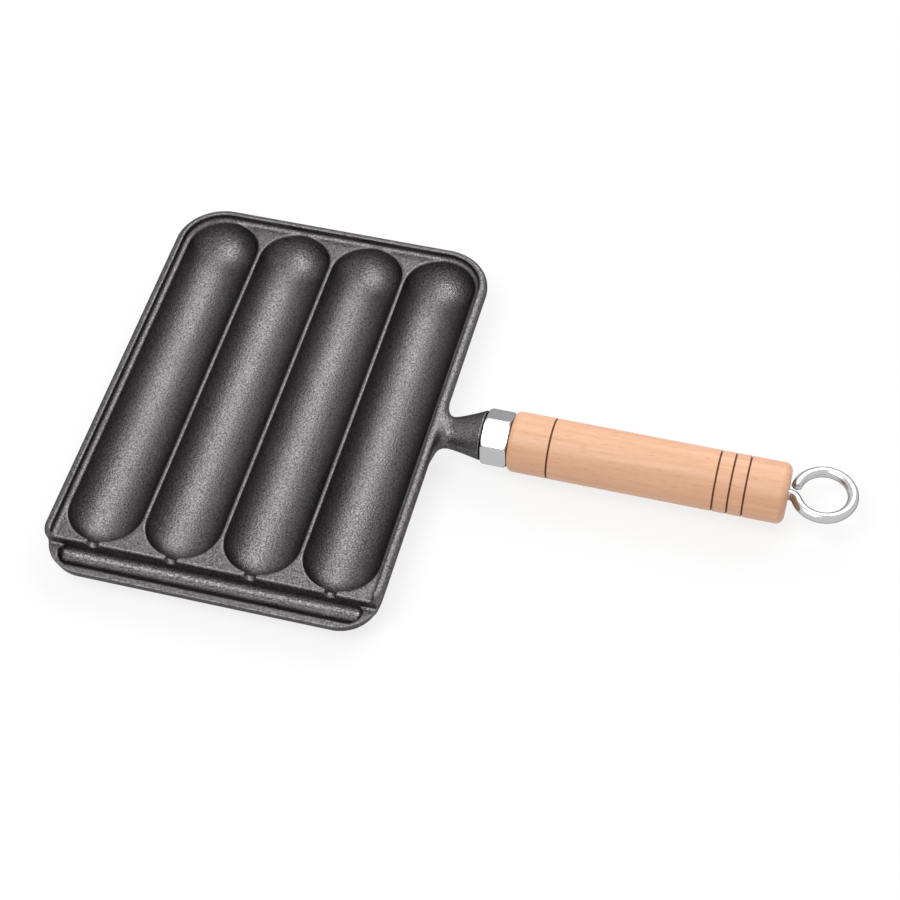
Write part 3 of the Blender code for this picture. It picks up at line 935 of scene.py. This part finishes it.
def looked_at(tree):
    """1 where the camera, a gloss or a clear piece looks at a surface, and else 0."""
    path = tree.nodes.new("ShaderNodeLightPath")
    seen = path.outputs["Is Camera Ray"]
    for ray in ("Is Glossy Ray", "Is Transmission Ray"):
        either = tree.nodes.new("ShaderNodeMath")
        either.operation = "MAXIMUM"
        tree.links.new(seen, either.inputs[0])
        tree.links.new(path.outputs[ray], either.inputs[1])
        seen = either.outputs[0]
    return seen


def floor_white():
    """The floor's material: plain white, mostly unlit where it is looked at."""
    graph = Graph("floor_white")
    graph.tree.nodes.remove(graph.shader)
    share = graph.math("MULTIPLY", looked_at(graph.tree), FLOOR_GLOW)
    lit = {"Color": colour([FLOOR_LIT] * 3)}
    diffuse = graph.add("ShaderNodeBsdfDiffuse", inputs=lit)
    plain = {"Color": colour(WHITE), "Strength": 1.0}
    glow = graph.add("ShaderNodeEmission", inputs=plain)
    layers = {"Fac": share, 1: diffuse.outputs[0], 2: glow.outputs[0]}
    blend = graph.add("ShaderNodeMixShader", inputs=layers)
    graph.feed(graph.tree.nodes["Material Output"], {"Surface": blend.outputs[0]})
    return graph.material


def make_floor():
    """A wide flat floor under the pan."""
    size = FLOOR_HALF_SIZE
    mesh = bpy.data.meshes.new("floor")
    corners = [(-size, -size), (size, -size), (size, size), (-size, size)]
    mesh.from_pydata([(x, y, 0.0) for x, y in corners], [], [(0, 1, 2, 3)])
    mesh.materials.append(floor_white())
    floor = bpy.data.objects.new("floor", mesh)
    bpy.context.scene.collection.objects.link(floor)


def make_world():
    """Even light from all round, white where it is looked at."""
    world = bpy.data.worlds.new("studio")
    world.use_nodes = True
    tree = world.node_tree
    back = tree.nodes["Background"]
    seen = looked_at(tree)
    level = tree.nodes.new("ShaderNodeMapRange")
    level.inputs["To Min"].default_value = WORLD_LIGHT
    level.inputs["To Max"].default_value = 1.0
    tree.links.new(seen, level.inputs["Value"])
    tree.links.new(level.outputs["Result"], back.inputs["Strength"])
    back.inputs["Color"].default_value = colour(WHITE)
    bpy.context.scene.world = world


def make_lamp(name, azimuth, elevation, size, power):
    """A square soft light that faces the pan from a direction."""
    data = bpy.data.lights.new(name, "AREA")
    data.shape = "SQUARE"
    data.size = size
    data.energy = power
    lamp = bpy.data.objects.new(name, data)
    bpy.context.scene.collection.objects.link(lamp)
    azimuth, elevation = math.radians(azimuth), math.radians(elevation)
    flat = math.cos(elevation)
    direction = Vector(
        (math.cos(azimuth) * flat, math.sin(azimuth) * flat, math.sin(elevation))
    )
    lamp.location = Vector((PAN_X, 0.0, 0.0)) + LAMP_DISTANCE * direction
    lamp.rotation_euler = direction.to_track_quat("Z", "Y").to_euler()


make_camera()
casting_mesh = surface_mesh("iron_pan", casting_distance, casting_grid())
add_piece("iron_pan", casting_mesh, "pan_casting", cast_iron())
ferrule_mesh = surface_mesh("chrome_ferrule", ferrule_distance, ferrule_grid())
chrome = bright_metal("chrome", CHROME_TINT)
add_piece("chrome_ferrule", ferrule_mesh, "ferrule", chrome)
add_piece("beech_grip", grip_mesh(), "wooden_grip", beech())
bright_steel = bright_metal("bright_steel", STEEL_TINT)
add_piece("steel_eye_rod", rod_mesh(), "eye_rod", bright_steel)
make_floor()
make_world()
for lamp_settings in LAMPS:
    make_lamp(*lamp_settings)
bpy.context.scene.view_settings.view_transform = "Standard"
